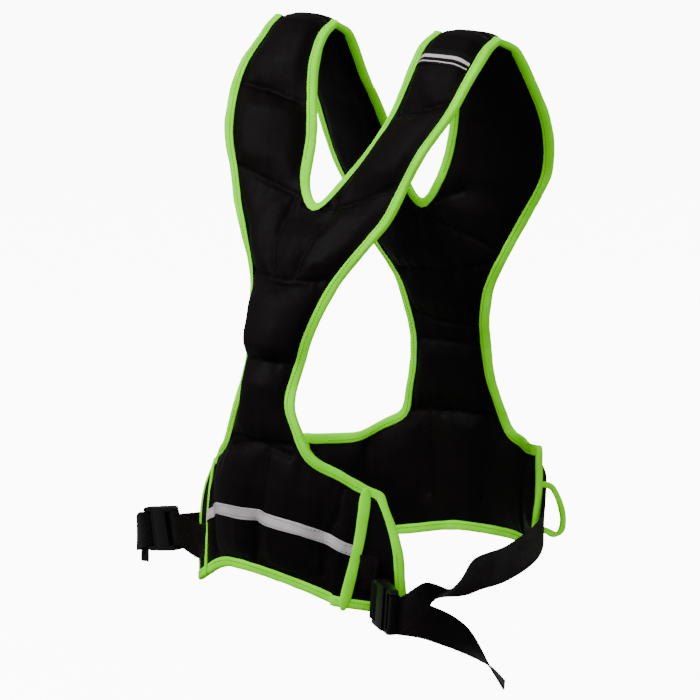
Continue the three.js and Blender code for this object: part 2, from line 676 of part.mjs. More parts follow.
function roundedPlate(width, [y0, y1], thickness) {
  const half = width / 2;
  const r = CORNER_RADIUS;
  const shape = new THREE.Shape();
  shape.moveTo(-half + r, y0);
  shape.lineTo(half - r, y0);
  shape.absarc(half - r, y0 + r, r, -Math.PI / 2, 0, false);
  shape.lineTo(half, y1);
  shape.lineTo(-half, y1);
  shape.lineTo(-half, y0 + r);
  shape.absarc(-half + r, y0 + r, r, Math.PI, Math.PI * 1.5, false);
  const plate = new THREE.ExtrudeGeometry(shape, { depth: thickness, bevelEnabled: false, curveSegments: 4 });
  plate.translate(0, 0, -thickness / 2);
  return toManifold(plate);
}

// Socket and plug lie along Y with the mouth at 0; the webbing bars are at their far ends
const SLOT_HALF = WEBBING_WIDTH / 2 + BUCKLE_CLEARANCE * 2;
const CAVITY_HALF = BUCKLE_WIDTH / 2 - BUCKLE_WALL;
const CAVITY_DEPTH = SOCKET_LENGTH - BAR_LENGTH - SLOT_LENGTH - BUCKLE_WALL * 1.5;
const CAVITY_HALF_HEIGHT = SOCKET_THICKNESS / 2 - BUCKLE_WALL;
const FAR = BUCKLE_WIDTH;

function barEnd(body, tip, direction) {
  const bar = tip - direction * BAR_LENGTH;
  const slot = bar - direction * SLOT_LENGTH;
  const range = (a, b) => [Math.min(a, b), Math.max(a, b)];
  const across = [-SLOT_HALF, SLOT_HALF];
  return body
    .subtract(block(across, range(slot, bar), [-FAR, FAR]))
    .subtract(block(across, range(slot, tip + direction), [BAR_THICKNESS / 2, FAR]))
    .subtract(block(across, range(slot, tip + direction), [-FAR, -BAR_THICKNESS / 2]));
}

function socket() {
  const body = roundedPlate(BUCKLE_WIDTH, [-SOCKET_LENGTH, 0], SOCKET_THICKNESS);
  const open = [-CAVITY_HALF_HEIGHT, CAVITY_HALF_HEIGHT];
  const cavity = block([-CAVITY_HALF, CAVITY_HALF], [-CAVITY_DEPTH, 1], open);
  const windows = block([-FAR, FAR], [-CAVITY_DEPTH * 0.8, -CAVITY_DEPTH * 0.25], open);
  return fromManifold(barEnd(body.subtract(cavity).subtract(windows), -SOCKET_LENGTH, -1));
}

function plug() {
  const base = roundedPlate(BUCKLE_WIDTH, [-PLUG_LENGTH, -BUCKLE_CLEARANCE], PLUG_THICKNESS)
    .rotate([0, 0, 180]);
  const height = CAVITY_HALF_HEIGHT - BUCKLE_CLEARANCE;
  const reach = -CAVITY_DEPTH + BUCKLE_CLEARANCE * 2;
  const outside = CAVITY_HALF - BUCKLE_CLEARANCE;
  let solid = barEnd(base, PLUG_LENGTH, 1);
  for (const side of [-1, 1]) {
    const span = side > 0 ? [outside - PRONG, outside] : [-outside, PRONG - outside];
    const latch = side > 0 ? [outside - 1, BUCKLE_WIDTH / 2] : [-BUCKLE_WIDTH / 2, 1 - outside];
    solid = solid.add(block(span, [reach, 1], [-height, height]));
    solid = solid.add(block(latch, [-CAVITY_DEPTH * 0.75, -CAVITY_DEPTH * 0.3], [-height, height]));
  }
  solid = solid.add(block([-PRONG / 2, PRONG / 2], [reach, 1], [-height, height]));
  return fromManifold(solid);
}

// A flat ribbon through stations of [centre, direction of its width]
function ribbon(stations, width, thickness, steps) {
  const curve = new THREE.CatmullRomCurve3(stations.map(([centre]) => centre));
  const widths = new THREE.CatmullRomCurve3(stations.map(([, wide]) => wide));
  const rings = [];
  for (let i = 0; i <= steps; i++) {
    const t = i / steps;
    const centre = curve.getPoint(t);
    const tangent = curve.getTangent(t);
    const wide = widths.getPoint(t).normalize();
    const flat = new THREE.Vector3().crossVectors(tangent, wide).normalize();
    rings.push([[1, 1], [-1, 1], [-1, -1], [1, -1]].map(([a, b]) => centre.clone()
      .addScaledVector(wide, a * width / 2).addScaledVector(flat, b * thickness / 2)));
  }
  const section = [[1, 1], [-1, 1], [-1, -1], [1, -1]]
    .map(([a, b]) => new THREE.Vector2(a * width / 2, b * thickness / 2));
  return ringSolid(rings, section, false);
}

// Where each buckle lies: its mouth, the way that it is pulled, and the way its width points. turn: the
// face of the bar that the webbing comes to first. early: how far short of the binding it leaves the cloth
const BUCKLES = {
  left: {
    side: 1, turn: 1, early: 0.3,
    mouth: [1.044, -0.968, -0.975], pull: [0.87, -0.48, -0.05], wide: [0, 0.05, 1],
  },
  right: {
    side: -1, turn: -1, early: 0,
    mouth: [-1.225, -0.742, -0.943], pull: [-0.97, 0.1, -0.18], wide: [-0.1, 0, 1],
  },
};
// The slack of each strap from its back end to its buckle, then the tail; the last numbers are
// the way its width points
const SLACK = {
  left: [
    [1.15, 0.2, -0.903, 0, 0, 1], [1.22, -0.15, -0.932, 0, 0, 1], [1.235, -0.45, -0.937, 0.1, 0, 1],
    [1.215, -0.68, -0.958, 0.9, -0.3, 0.5], [1.17, -0.79, -0.962, 0.2, -0.2, 1],
  ],
  right: [
    [-1.19, 0.15, -0.96, 0, 0, 1], [-1.44, -0.15, -0.985, 0, 0, 1], [-1.7, -0.44, -0.99, 0, 0, 1],
    [-1.54, -0.65, -0.972, 0, 0, 1],
  ],
};
const TAIL = {
  left: [
    [1.12, -0.72, -1.012, 0, 0, 1], [1.175, -0.5, -1.052, 0.5, -0.2, 0.8],
    [1.195, -0.25, -1.128, 0.8, -0.9, 0.15],
    [1.21, -0.17, -1.16, 0.8, -1, 0],
  ],
  right: [[-1.455, -0.687, -0.983, 0, 0, 1], [-1.53, -0.57, -0.999, 0, 0, 1]],
};

function onVest(shares) {
  return new THREE.Vector3(
    shares[0] * HALF_WIDTH, shares[1] * FRONT_REACH, CREST_RISE + shares[2] * VEST_LENGTH,
  );
}

const TURN = BAR_THICKNESS / 2 + TRIM_GAP + WEBBING_THICKNESS / 2 + BUCKLE_CLEARANCE * 3.5;
const END_COLUMN = back.wide;
const ANCHOR_ROW = 2.25;
const STRAP_ROW = 2.3;
for (const [name, buckle] of Object.entries(BUCKLES)) {
  const along = new THREE.Vector3(...buckle.pull).normalize();
  const wide = new THREE.Vector3(...buckle.wide).projectOnPlane(along).normalize();
  const flat = new THREE.Vector3().crossVectors(wide, along).normalize();
  const seat = new THREE.Group();
  seat.position.copy(onVest(buckle.mouth));
  seat.quaternion.setFromRotationMatrix(new THREE.Matrix4().makeBasis(wide, along, flat));
  group.add(seat);
  addPiece(seat, 'buckle_socket_' + name, socket(), PLASTIC);
  addPiece(seat, 'buckle_plug_' + name, plug(), PLASTIC);
  const local = (y, z) => seat.position.clone().addScaledVector(along, y).addScaledVector(flat, z);

  // Anchor: out of the pocket, over the arm binding, round the socket's bar and back
  const bar = -SOCKET_LENGTH + BAR_LENGTH / 2;
  const inSlot = -SOCKET_LENGTH + BAR_LENGTH + TRIM_GAP + WEBBING_THICKNESS + BUCKLE_CLEARANCE;
  const overBinding = BINDING_GAP + BINDING_WALL + TRIM_GAP + WEBBING_THICKNESS;
  const wingAt = (row) => front.at(buckle.side, row, front.wide).point.clone();
  const upWing = wingAt(3).sub(wingAt(1)).normalize();
  const anchor = [
    [facePoint(front, buckle.side, ANCHOR_ROW, POCKET_COLUMN + 0.3, TRIM_GAP + WEBBING_THICKNESS), upWing],
    [
      facePoint(
        front, buckle.side, ANCHOR_ROW, front.wide - 1 - buckle.early, overBinding + OVER_BINDING_CLEARANCE,
      ),
      upWing,
    ],
    [local(-SOCKET_LENGTH - BAR_LENGTH * 1.5, -buckle.turn * TURN * 1.1), wide],
    [local(bar, -buckle.turn * TURN), wide],
    [local(inSlot, 0), wide],
    [local(bar, buckle.turn * TURN), wide],
    [local(-SOCKET_LENGTH - 1, buckle.turn * TURN), wide],
  ];
  addPiece(group, 'anchor_webbing_' + name, ribbon(anchor, WEBBING_WIDTH, WEBBING_THICKNESS, 24), WEB);

  // Strap: from the back belt through the keeper to the plug, round its bar, and on as the tail
  const endAt = (row) => back.at(buckle.side, row, END_COLUMN).point.clone();
  const upEnd = endAt(4).sub(endAt(1)).normalize();
  const station = (p) => [onVest(p), new THREE.Vector3(p[3], p[4], p[5])];
  const tip = PLUG_LENGTH - BAR_LENGTH / 2;
  const strap = [
    [facePoint(back, buckle.side, STRAP_ROW, END_COLUMN - 1, overBinding), upEnd],
    [facePoint(back, buckle.side, STRAP_ROW, END_COLUMN - 0.1, overBinding + 0.5), upEnd],
    ...SLACK[name].map(station),
    [local(PLUG_LENGTH + BAR_LENGTH * 1.25, TURN), wide],
    [local(tip, TURN), wide],
    [local(PLUG_LENGTH - BAR_LENGTH - TRIM_GAP - WEBBING_THICKNESS - BUCKLE_CLEARANCE, 0), wide],
    [local(tip, -TURN), wide],
    [local(PLUG_LENGTH + BAR_LENGTH * 1.25, -TURN), wide],
    ...TAIL[name].map(station),
  ];
  addPiece(group, 'webbing_' + name, ribbon(strap, WEBBING_WIDTH, WEBBING_THICKNESS, 62), WEB);

  // Keeper: a cord loop standing off the end of the back belt, round the strap
  const foot = TRIM_GAP + BINDING_GAP + BINDING_WALL + BUCKLE_CLEARANCE;
  const base = (row, lift) => facePoint(back, buckle.side, row, END_COLUMN - 0.45, foot + lift);
  const loop = new THREE.CatmullRomCurve3([
    base(3.5, 0), base(3.4, KEEPER_REACH * 0.35), base(2.5, KEEPER_REACH * 0.8), base(1.4, KEEPER_REACH),
    base(0.6, KEEPER_REACH * 0.8), base(0.95, KEEPER_REACH * 0.35), base(1.02, 0),
  ]);
  const round = new THREE.Shape().absarc(0, 0, KEEPER_RADIUS, 0, Math.PI * 2, false);
  addPiece(group, 'keeper_loop_' + name, new THREE.ExtrudeGeometry(round, {
    steps: 10, curveSegments: 4, extrudePath: loop, bevelEnabled: false,
  }), LIME);
}

export default group;
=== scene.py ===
# %% [markdown]
# # A quilted weighted vest
#
# A weighted vest is a sewn thing: black cloth quilted into compartments that hold heavy granules,
# a lime tape folded round every edge, a reflective tape across the belt, and webbing with side
# release buckles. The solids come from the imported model; each cell below dresses one kind of
# piece over its solid.

import math

import bmesh
import bpy
import numpy as np
from mathutils import Matrix, Vector, noise
from mathutils.bvhtree import BVHTree
from mathutils.kdtree import KDTree


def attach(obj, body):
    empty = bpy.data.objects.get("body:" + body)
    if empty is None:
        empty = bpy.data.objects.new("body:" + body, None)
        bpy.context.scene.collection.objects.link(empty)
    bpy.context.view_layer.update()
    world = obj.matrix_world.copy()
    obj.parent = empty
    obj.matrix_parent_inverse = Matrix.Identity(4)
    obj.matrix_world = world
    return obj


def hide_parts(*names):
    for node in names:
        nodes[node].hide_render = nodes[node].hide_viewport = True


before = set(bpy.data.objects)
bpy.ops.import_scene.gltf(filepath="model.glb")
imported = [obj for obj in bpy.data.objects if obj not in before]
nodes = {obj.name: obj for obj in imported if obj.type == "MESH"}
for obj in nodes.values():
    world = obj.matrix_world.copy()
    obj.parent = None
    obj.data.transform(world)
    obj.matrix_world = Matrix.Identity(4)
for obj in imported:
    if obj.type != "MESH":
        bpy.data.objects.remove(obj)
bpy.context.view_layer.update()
print("solids:", len(nodes))

# %% [markdown]
# ## The camera
#
# The photograph was taken from some way off with a long lens, from in front and to the wearer's
# left, and looks down a little. The same camera also tells where a seam that is seen in the
# picture lies on the cloth: a ray through that pixel meets the panel there.

# %% Camera
IMAGE = 700
FOCAL_PIXELS = 4500
TARGET = Vector((0, -0.055, -0.3267))
BACKWARD = Vector((0.65684, -0.72949, 0.19081)).normalized()
DISTANCE = 4.6875

camera_data = bpy.data.cameras.new("camera")
camera_data.sensor_width = 36
camera_data.lens = FOCAL_PIXELS / IMAGE * camera_data.sensor_width
camera = bpy.data.objects.new("camera", camera_data)
bpy.context.scene.collection.objects.link(camera)
camera.location = TARGET + BACKWARD * DISTANCE
camera.rotation_euler = BACKWARD.to_track_quat("Z", "Y").to_euler()
bpy.context.scene.camera = camera
camera_turn = BACKWARD.to_track_quat("Z", "Y").to_matrix()
print("camera at", [round(v, 2) for v in camera.location])


def pixel_ray(across, down):
    """The direction from the camera through a pixel of the 700 x 700 picture."""
    local = Vector((across - IMAGE / 2, IMAGE / 2 - down, -FOCAL_PIXELS))
    return (camera_turn @ local).normalized()


# %% [markdown]
# ## Helpers for cloth
#
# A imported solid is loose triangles, so a copy is merged before anything shapes it. Modifiers do
# the heavy work, and their result is taken as a plain mesh.

# %% Helpers
MERGE_DISTANCE = 2e-5


def finish_piece(piece, name, replaced, material):
    piece.name = name
    piece.data.name = name
    piece.data.materials.clear()
    piece.data.materials.append(material)
    for polygon in piece.data.polygons:
        polygon.use_smooth = True
    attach(piece, "root")
    if replaced:
        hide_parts(*replaced)
    return piece


def merged_copy(node):
    mesh = nodes[node].data.copy()
    edit = bmesh.new()
    edit.from_mesh(mesh)
    bmesh.ops.remove_doubles(edit, verts=edit.verts, dist=MERGE_DISTANCE)
    edit.to_mesh(mesh)
    edit.free()
    piece = bpy.data.objects.new(node + "_copy", mesh)
    bpy.context.scene.collection.objects.link(piece)
    return piece


def bake_modifiers(piece):
    graph = bpy.context.evaluated_depsgraph_get()
    made = bpy.data.meshes.new_from_object(piece.evaluated_get(graph))
    old = piece.data
    piece.modifiers.clear()
    piece.data = made
    bpy.data.meshes.remove(old)
    return piece


def read_points(mesh):
    points = np.empty(len(mesh.vertices) * 3, np.float32)
    mesh.vertices.foreach_get("co", points)
    return points.reshape(-1, 3).astype(float)


def read_normals(mesh):
    normals = np.empty(len(mesh.vertices) * 3, np.float32)
    mesh.vertex_normals.foreach_get("vector", normals)
    return normals.reshape(-1, 3).astype(float)


def write_points(mesh, points):
    mesh.vertices.foreach_set("co", points.astype(np.float32).ravel())
    mesh.update()


def skin_of(piece):
    points = [tuple(p) for p in read_points(piece.data)]
    return BVHTree.FromPolygons(points, [tuple(f.vertices) for f in piece.data.polygons])


def near_tree(points):
    grid = KDTree(len(points))
    for i, p in enumerate(points):
        grid.insert(p, i)
    grid.balance()
    return grid


print("helpers ready, corners closer than", MERGE_DISTANCE * 1000, "mm are merged")


# %% [markdown]
# ## Finishes
#
# Four things show on black sports cloth: a fine weave, a soft sheen, slow changes of tone where
# it is creased or rubbed, and roughness that changes with them. Weave and tone go into node
# groups, so that the cloth, the tape and the webbing each use them with their own scale.

# %% Weave group
def new_group(name, inputs, outputs):
    group = bpy.data.node_groups.new(name, "ShaderNodeTree")
    for title, value in inputs.items():
        socket = group.interface.new_socket(title, in_out="INPUT", socket_type="NodeSocketFloat")
        socket.default_value = value
    for title, kind in outputs.items():
        group.interface.new_socket(title, in_out="OUTPUT", socket_type=kind)
    return group, group.nodes.new("NodeGroupInput"), group.nodes.new("NodeGroupOutput")


def math_node(tree, operation, first, second=None):
    node = tree.nodes.new("ShaderNodeMath")
    node.operation = operation
    for i, value in enumerate((first, second)):
        if value is None:
            continue
        if isinstance(value, (int, float)):
            node.inputs[i].default_value = value
        else:
            tree.links.new(value, node.inputs[i])
    return node.outputs[0]


def make_weave():
    tree, given, out = new_group(
        "woven threads", {"Threads": 1400.0}, {"Height": "NodeSocketFloat"}
    )
    place = tree.nodes.new("ShaderNodeTexCoord")
    split = tree.nodes.new("ShaderNodeSeparateXYZ")
    tree.links.new(place.outputs["Object"], split.inputs[0])
    threads = given.outputs["Threads"]
    flat = math_node(tree, "ADD", split.outputs["X"], split.outputs["Y"])
    warp = math_node(tree, "SINE", math_node(tree, "MULTIPLY", flat, threads))
    weft = math_node(tree, "SINE", math_node(tree, "MULTIPLY", split.outputs["Z"], threads))
    over = math_node(tree, "ADD", math_node(tree, "MULTIPLY", warp, weft), 1.0)
    tree.links.new(math_node(tree, "MULTIPLY", over, 0.5), out.inputs["Height"])
    return tree


def make_tone():
    tree, given, out = new_group(
        "slow tone", {"Scale": 18.0, "Low": 0.8, "High": 1.15}, {"Tone": "NodeSocketFloat"}
    )
    place = tree.nodes.new("ShaderNodeTexCoord")
    cloud = tree.nodes.new("ShaderNodeTexNoise")
    cloud.inputs["Detail"].default_value = 5
    tree.links.new(place.outputs["Object"], cloud.inputs["Vector"])
    tree.links.new(given.outputs["Scale"], cloud.inputs["Scale"])
    spread = tree.nodes.new("ShaderNodeMapRange")
    tree.links.new(cloud.outputs["Fac"], spread.inputs["Value"])
    spread.inputs["From Min"].default_value = 0.3
    spread.inputs["From Max"].default_value = 0.7
    tree.links.new(given.outputs["Low"], spread.inputs["To Min"])
    tree.links.new(given.outputs["High"], spread.inputs["To Max"])
    tree.links.new(spread.outputs["Result"], out.inputs["Tone"])
    return tree


WEAVE = make_weave()
TONE = make_tone()
print("node groups:", [g.name for g in bpy.data.node_groups])


# %% [markdown]
# Every woven material is built the same way. Its colour follows the threads by its contrast, and
# colour and roughness follow the slow tone. Black cloth reflects very little, so the specular
# level is kept low.

# %% Base for woven materials
THREAD_MEAN = 0.6


def place_group(tree, group, **values):
    node = tree.nodes.new("ShaderNodeGroup")
    node.node_tree = group
    for title, value in values.items():
        node.inputs[title].default_value = value
    return node


def woven(
    name, color, roughness, threads, bump, tone=(0.8, 1.15), tone_scale=18.0,
    gloss=0.08, distance=0.0004, contrast=0.25,
):
    """A Principled material whose colour, roughness and bump follow the weave and the slow tone."""
    material = bpy.data.materials.new(name)
    material.use_nodes = True
    tree = material.node_tree
    shader = tree.nodes["Principled BSDF"]
    weave = place_group(tree, WEAVE, Threads=threads)
    cloud = place_group(tree, TONE, Scale=tone_scale, Low=tone[0], High=tone[1])
    threads_up = math_node(tree, "MULTIPLY", weave.outputs[0], contrast)
    shade = math_node(tree, "ADD", threads_up, 1 - contrast * THREAD_MEAN)
    strength = math_node(tree, "MULTIPLY", shade, cloud.outputs[0])
    paint = tree.nodes.new("ShaderNodeVectorMath")
    paint.operation = "SCALE"
    paint.inputs[0].default_value = color
    tree.links.new(strength, paint.inputs["Scale"])
    tree.links.new(paint.outputs[0], shader.inputs["Base Color"])
    rough = math_node(tree, "MULTIPLY", cloud.outputs[0], roughness)
    tree.links.new(rough, shader.inputs["Roughness"])
    relief = tree.nodes.new("ShaderNodeBump")
    relief.inputs["Strength"].default_value = bump
    relief.inputs["Distance"].default_value = distance
    tree.links.new(weave.outputs[0], relief.inputs["Height"])
    tree.links.new(relief.outputs[0], shader.inputs["Normal"])
    shader.inputs["Specular IOR Level"].default_value = gloss
    return material


cloth_look = woven(
    "black quilted cloth", (0.0027, 0.0020, 0.0020),
    roughness=0.55, threads=3200.0, bump=0.35, gloss=0.03,
)
lime_look = woven(
    "lime folded tape", (0.2, 0.86, 0.001),
    roughness=0.8, threads=2600.0, bump=0.45, tone=(0.86, 1.1), tone_scale=30.0, gloss=0.04,
)
web_look = woven(
    "brown black webbing", (0.0036, 0.0024, 0.0022),
    roughness=0.5, threads=2100.0, bump=1.0, tone=(0.8, 1.2), tone_scale=40.0,
    gloss=0.05, distance=0.0011, contrast=0.9,
)
print("woven materials:", cloth_look.name, lime_look.name, web_look.name)

# %% [markdown]
# ## The two padded panels
#
# Each panel is quilted: seams run through cloth and filling, and the granules swell the
# compartments between them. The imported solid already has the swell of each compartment. A fine
# voxel remesh of it, smoothed, gives an even skin; then the sewn lines are pressed into both
# faces, with puckers running away from them.

# %% Where the seams run, as points in the camera's picture
FRONT_SEAMS = [
    [(240, 82), (270, 90), (300, 102)],
    [(235, 163), (265, 179), (297, 195)],
    [(297, 195), (283, 222), (275, 243), (272, 278)],
    [(402, 113), (433, 108), (447, 103)],
    [(305, 203), (320, 207), (340, 208), (373, 197), (393, 187)],
    [(250, 269), (257, 273), (273, 280), (310, 282), (328, 280)],
    [(243, 357), (262, 361), (287, 364)],
    [(222, 429), (228, 432), (250, 440), (263, 443), (290, 456)],
    [(268, 450), (262, 503), (257, 520), (255, 562)],
    [(345, 483), (335, 520), (330, 530), (323, 550), (322, 575)],
]
FRONT_MIRRORED = {2, 5, 6, 7, 9}
BACK_SEAMS = [
    [(437, 200), (463, 191)],
    [(430, 216), (450, 229), (473, 238), (497, 252)],
    [(400, 269), (443, 271), (487, 265)],
    [(418, 313), (445, 322), (480, 327)],
    [(417, 337), (457, 342), (483, 347)],
    [(413, 410), (457, 411), (493, 417)],
    [(429, 408), (429, 450), (429, 492)],
    [(485, 415), (485, 455), (483, 500)],
    [(367, 415), (367, 455), (367, 500)],
]
BACK_MIRRORED = {0, 1, 8}
JUST_INSIDE = 0.0005
THROUGH_PANEL = 0.03


def dense(points, step=3.0):
    """The same line with a point about every three pixels."""
    made = []
    for a, b in zip(points[:-1], points[1:]):
        count = max(2, int(math.dist(a, b) / step))
        across, down = (b[0] - a[0]) / count, (b[1] - a[1]) / count
        made += [(a[0] + across * i, a[1] + down * i) for i in range(count)]
    return made + [points[-1]]


def seam_rows(tree, seams, mirrored):
    """Each seam as rows of points on both faces, and on the other half too if it is mirrored."""
    rows = []
    for number, seam in enumerate(seams):
        seen = []
        for pixel in dense(seam):
            hit = tree.ray_cast(camera.location, pixel_ray(*pixel))
            if hit[0] is not None:
                seen.append(hit[0])
        halves = [seen]
        if number in mirrored:
            halves.append([Vector((-p.x, p.y, p.z)) for p in seen])
        for points in halves:
            near, far = [], []
            for point in points:
                place, normal, _, _ = tree.find_nearest(point)
                through = tree.ray_cast(place - normal * JUST_INSIDE, -normal, THROUGH_PANEL)[0]
                near.append(place)
                if through is not None:
                    far.append(through)
            rows += [near, far]
    return rows


print("seams drawn:", len(FRONT_SEAMS), "in front,", len(BACK_SEAMS), "behind")


# %% [markdown]
# A seam pulls the cloth down most at the thread and lets go within about two centimetres. The
# puckers are short folds across the seam: noise that is stretched along them and fades with the
# seam. The granules swell the cloth between everything that holds it down: the seams, the tapes
# and the straps. It lies flattest beside the pockets, so that their tapes stay in sight.

# %% What holds the cloth down
VOXEL = 0.0022
SMOOTH_ROUNDS = 14
SEAM_DEPTH = 0.0026
SEAM_WIDTH = 0.0032
PUCKER_DEPTH = 0.0022
PUCKER_REACH = 0.022
PUCKER_ACROSS = 90
PUCKER_ALONG = 28
LUMP_DEPTH = 0.0009
LUMPS = 38
SWELL = 0.0034
SWELL_REACH = 0.009
SEAM_REACH = 0.014
POCKET_REACH = 0.03
HOLD_STEP = 0.004
THREAD_REACH = 0.006


def sewn_points(*kinds):
    """Close points on every tape and strap of these kinds, beside which the cloth can't swell."""
    points = []
    for node in nodes:
        if not any(kind in node for kind in kinds):
            continue
        piece = merged_copy(node)
        world = read_points(piece.data)
        for edge in piece.data.edges:
            a, b = (Vector(world[i]) for i in edge.vertices)
            count = int((b - a).length / HOLD_STEP) + 1
            points += [a.lerp(b, i / count) for i in range(count)]
        bpy.data.objects.remove(piece)
    return near_tree(points)


held_down = sewn_points("binding", "webbing")
pockets = sewn_points("pocket")
quilting = []
print("the cloth may swell up to", SWELL * 1000, "mm between seams")


# %% [markdown]
# With that known, a panel is made in three steps: an even skin, the moves of the cloth along its
# normals, and the seams' rows, which are kept for the thread.

# %% Make a panel
def quilted_panel(node, seams, mirrored):
    piece = merged_copy(node)
    remesh = piece.modifiers.new("even skin", "REMESH")
    remesh.mode = "VOXEL"
    remesh.voxel_size = VOXEL
    smooth = piece.modifiers.new("soft cloth", "SMOOTH")
    smooth.factor = 0.5
    smooth.iterations = SMOOTH_ROUNDS
    bake_modifiers(piece)
    mesh = piece.data
    points = read_points(mesh)
    normals = read_normals(mesh)
    rows = seam_rows(skin_of(piece), seams, mirrored)
    seam_grid = near_tree([p for row in rows for p in row])
    moved = points.copy()
    for i, (p, n) in enumerate(zip(points, normals)):
        v = Vector(p)
        distance = seam_grid.find(v)[2]
        held = held_down.find(v)[2]
        groove = math.exp(-((distance / SEAM_WIDTH) ** 2))
        near = math.exp(-distance / PUCKER_REACH)
        place = Vector((v.x * PUCKER_ACROSS, v.y * PUCKER_ACROSS, v.z * PUCKER_ALONG))
        fold = noise.noise(place) * near
        lump = noise.noise(v * LUMPS) * (1 - groove)
        free = 1 - math.exp(-((held / SWELL_REACH) ** 2))
        free *= 1 - math.exp(-((pockets.find(v)[2] / POCKET_REACH) ** 2))
        cushion = free * (1 - math.exp(-((distance / SEAM_REACH) ** 2)))
        rise = SWELL * cushion - SEAM_DEPTH * groove + PUCKER_DEPTH * fold + LUMP_DEPTH * lump
        moved[i] = p + n * rise
    write_points(mesh, moved)
    finish_piece(piece, "quilted_" + node, [node], cloth_look)
    skin = skin_of(piece)
    for row in rows:
        found = [skin.find_nearest(p) for p in row]
        quilting.append([(place, normal) for place, normal, _, far in found if far < THREAD_REACH])
    print(piece.name, len(mesh.polygons), "faces,", len(rows), "rows of seam")
    return piece


front = quilted_panel("front_panel", FRONT_SEAMS, FRONT_MIRRORED)
back = quilted_panel("back_panel", BACK_SEAMS, BACK_MIRRORED)

# %% [markdown]
# ## Folded tape, webbing and cords
#
# The tape that binds the edges is a flat strip folded in two, and the webbing is one long ribbon.
# Their solids are sweeps, so once each pair of triangles is a quad again, a subdivision surface
# runs smoothly along them. The ribbon's long edges are creased so that it stays flat and keeps
# its width. A pocket tape is lengthened a little, so that its ends tuck under the hem tape and
# the arm tape.

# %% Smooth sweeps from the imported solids
FLAT_PAIR = math.radians(60)
SHARP_EDGE = math.radians(50)
TAPE_WAVE = 0.0005
TAPE_WAVES = 70
POCKET_TUCK = 0.009
UPPER_TUCK_SHARE = 0.35
END_CORNERS = 4
RIBBON_CREASE = 0.85
PATCH_CREASE = 0.9


def pass_through_corners(piece, rounds=3):
    """Moves the cage out until its subdivided surface runs through the solid's own corners."""
    wanted = read_points(piece.data)
    cage = wanted.copy()
    for _ in range(rounds):
        bpy.context.view_layer.update()
        graph = bpy.context.evaluated_depsgraph_get()
        smooth = read_points(piece.evaluated_get(graph).data)[: len(wanted)]
        cage += wanted - smooth
        write_points(piece.data, cage)
        piece.data.update_tag()


def pulled_by_thread(piece):
    """Slow unevenness of a tape that is fed round curves by hand."""
    points = read_points(piece.data)
    normals = read_normals(piece.data)
    for i, (p, n) in enumerate(zip(points, normals)):
        points[i] = p + n * (noise.noise(Vector(p) * TAPE_WAVES) * TAPE_WAVE)
    write_points(piece.data, points)


def join_quads(edit):
    bmesh.ops.join_triangles(
        edit, faces=edit.faces, angle_face_threshold=FLAT_PAIR, angle_shape_threshold=FLAT_PAIR
    )


def smooth_sweep(node, name, slot, material, crease=0.0, levels=2, stretch=0.0):
    piece = merged_copy(node)
    edit = bmesh.new()
    edit.from_mesh(piece.data)
    if stretch:
        rank = sorted(edit.verts, key=lambda v: v.co.z)
        low, high = rank[:END_CORNERS], rank[-END_CORNERS:]
        run = sum((v.co for v in high), Vector()) - sum((v.co for v in low), Vector())
        run.normalize()
        bmesh.ops.translate(edit, verts=low, vec=-run * stretch)
        bmesh.ops.translate(edit, verts=high, vec=run * stretch * UPPER_TUCK_SHARE)
    join_quads(edit)
    if crease:
        layer = edit.edges.layers.float.new("crease_edge")
        for edge in edit.edges:
            if len(edge.link_faces) == 2 and edge.calc_face_angle(0) > SHARP_EDGE:
                edge[layer] = crease
    edit.to_mesh(piece.data)
    edit.free()
    surface = piece.modifiers.new("smooth run", "SUBSURF")
    surface.levels = levels
    surface.render_levels = levels
    pass_through_corners(piece)
    bake_modifiers(piece)
    if slot == "lime_binding":
        pulled_by_thread(piece)
    finish_piece(piece, name, [node], material)
    print(piece.name, len(piece.data.polygons), "faces")
    return piece


print("sweeps are subdivided twice")

# %% [markdown]
# The two halves are not mirrored: each strap has its own fall, so both sides are taken from their
# own solids.

# %% The tapes, straps and cords
TAPES = {
    "front_hem_binding": "front_hem_tape",
    "back_hem_binding": "back_hem_tape",
    "arm_binding_left": "arm_tape_left",
    "arm_binding_right": "arm_tape_right",
    "neck_binding": "neck_tape",
    "pocket_binding_left": "pocket_tape_left",
    "pocket_binding_right": "pocket_tape_right",
}
RIBBONS = {"anchor_webbing_": "anchor_strap_", "webbing_": "side_strap_"}
for node, name in TAPES.items():
    tuck = POCKET_TUCK if "pocket" in node else 0.0
    smooth_sweep(node, name, "lime_binding", lime_look, stretch=tuck)
for side in ("left", "right"):
    smooth_sweep("keeper_loop_" + side, "keeper_cord_" + side, "lime_binding", lime_look)
    for node, name in RIBBONS.items():
        smooth_sweep(node + side, name + side, "webbing", web_look, crease=RIBBON_CREASE)


# %% [markdown]
# ## Stitching
#
# Every tape but the pocket tapes is sewn down close to its inner edge, and every quilting seam is a
# row of stitches that dips into the cloth. One stitch is a short bar of three sides with tapered
# ends, half sunk in the cloth. Such bars are laid along each row at an even pitch.

# %% Stitch rows
STITCH_PITCH = 0.0036
STITCH_LENGTH = 0.0026
STITCH_RADIUS = 0.00038
STITCH_LIFT = STITCH_RADIUS * 0.4
STITCH_SECTIONS = ((-0.5, 0.45), (-0.3, 1.0), (0.3, 1.0), (0.5, 0.45))
STITCH_SIDES = 3
STITCH_FACES = (len(STITCH_SECTIONS) - 1) * STITCH_SIDES + 2
TOO_SHORT = 1e-6


